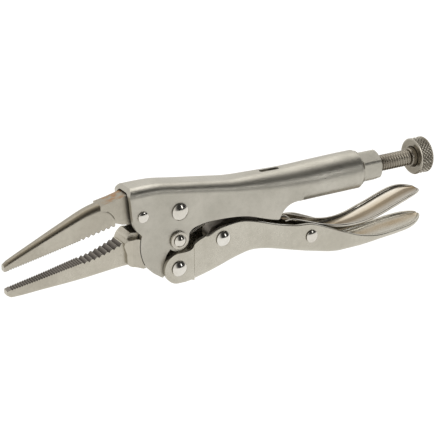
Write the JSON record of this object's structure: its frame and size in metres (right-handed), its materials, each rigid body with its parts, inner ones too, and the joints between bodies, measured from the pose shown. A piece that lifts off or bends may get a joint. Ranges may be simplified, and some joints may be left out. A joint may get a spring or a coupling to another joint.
{
  "type": "locking pliers",
  "caption": "Long-nose locking pliers in plated steel: toothed jaws, toggle linkage, screw-set opening and a quick-release lever in the lower handle.",
  "frame": {"origin": "centre of the bounding box in X and Y, at the flat back of the lower handle in Z", "axes": "+X along the tool from the jaws' tips towards the adjusting knob; +Y across the tool's thickness; +Z from the lower handle up to the upper body"},
  "size_m": [0.225, 0.0242, 0.0532],
  "materials": {
    "body_nickel": "satin nickel plate over stamped sheet",
    "forged_nickel": "satin nickel plate over a forging",
    "handle_nickel": "satin nickel plate",
    "lever_nickel": "bright nickel plate",
    "rivet_bright": "polished nickel plate",
    "washer_steel": "plated",
    "screw_steel": "machined and plated",
    "knob_steel": "diamond knurled and plated",
    "spring_steel": "oiled spring wire",
    "link_steel": "plain steel"
  },
  "bodies": {
    "root": {"upper_body": "body_nickel", "upper_jaw": "forged_nickel", "jaw_rivet_front": "rivet_bright", "jaw_rivet_rear": "rivet_bright", "pivot_washer_near": "washer_steel", "pivot_washer_far": "washer_steel", "tension_spring": "spring_steel"},
    "jaw_pivot": {"jaw_pivot_rivet": "rivet_bright"},
    "lower_jaw": {"lower_jaw": "forged_nickel"},
    "handle_pivot": {"handle_pivot_rivet": "rivet_bright"},
    "lower_handle": {"lower_handle": "handle_nickel", "toggle_rivet": "rivet_bright", "release_lever_pin": "rivet_bright"},
    "toggle_link": {"toggle_link": "link_steel"},
    "release_lever": {"release_lever": "lever_nickel"},
    "screw_tip": {"screw_tip": "screw_steel"},
    "screw": {"adjusting_screw": "screw_steel", "screw_knob": "knob_steel"}
  },
  "joints": [
    {"name": "screw_travel", "type": "slide", "parent": "root", "child": "screw_tip", "axis": [1, 0, 0], "range_m": [-0.00131, 0.00385]},
    {"name": "screw_spin", "type": "hinge", "parent": "screw_tip", "child": "screw", "pos_m": [0.05, 0, 0.038], "axis": [1, 0, 0], "range_deg": [-314, 923]},
    {"name": "jaw_adjust", "type": "hinge", "parent": "root", "child": "jaw_pivot", "pos_m": [-0.0306, 0, 0.0253], "axis": [0, 1, 0], "range_deg": [-16.5, 5.6], "deforming": ["tension_spring"]},
    {"name": "jaw_open", "type": "hinge", "parent": "jaw_pivot", "child": "lower_jaw", "pos_m": [-0.0306, 0, 0.0253], "axis": [0, 1, 0], "range_deg": [-12.4, 0], "deforming": ["tension_spring"]},
    {"name": "handle_adjust", "type": "hinge", "parent": "lower_jaw", "child": "handle_pivot", "pos_m": [-0.0314, 0, 0.012], "axis": [0, 1, 0], "range_deg": [-5.61, 16.51]},
    {"name": "lever_open", "type": "hinge", "parent": "handle_pivot", "child": "lower_handle", "pos_m": [-0.0314, 0, 0.012], "axis": [0, 1, 0], "range_deg": [0, 33.01]},
    {"name": "link_turn", "type": "hinge", "parent": "lower_handle", "child": "toggle_link", "pos_m": [-0.0077, 0, 0.0214], "axis": [0, 1, 0], "range_deg": [-33.21, 0]},
    {"name": "release_press", "type": "hinge", "parent": "lower_handle", "child": "release_lever", "pos_m": [0.041, 0, 0.0122], "axis": [0, 1, 0], "range_deg": [0, 8]}
  ],
  "couplings": [
    {"joint": "screw_spin", "follows": "jaw_adjust", "ratio": -55.811},
    {"joint": "screw_travel", "follows": "jaw_adjust", "m_per_rad": -0.013324},
    {"joint": "handle_adjust", "follows": "jaw_adjust", "ratio": -1},
    {"joint": "lever_open", "follows": "jaw_open", "ratio": -2.6613},
    {"joint": "link_turn", "follows": "jaw_open", "ratio": 2.677}
  ]
}
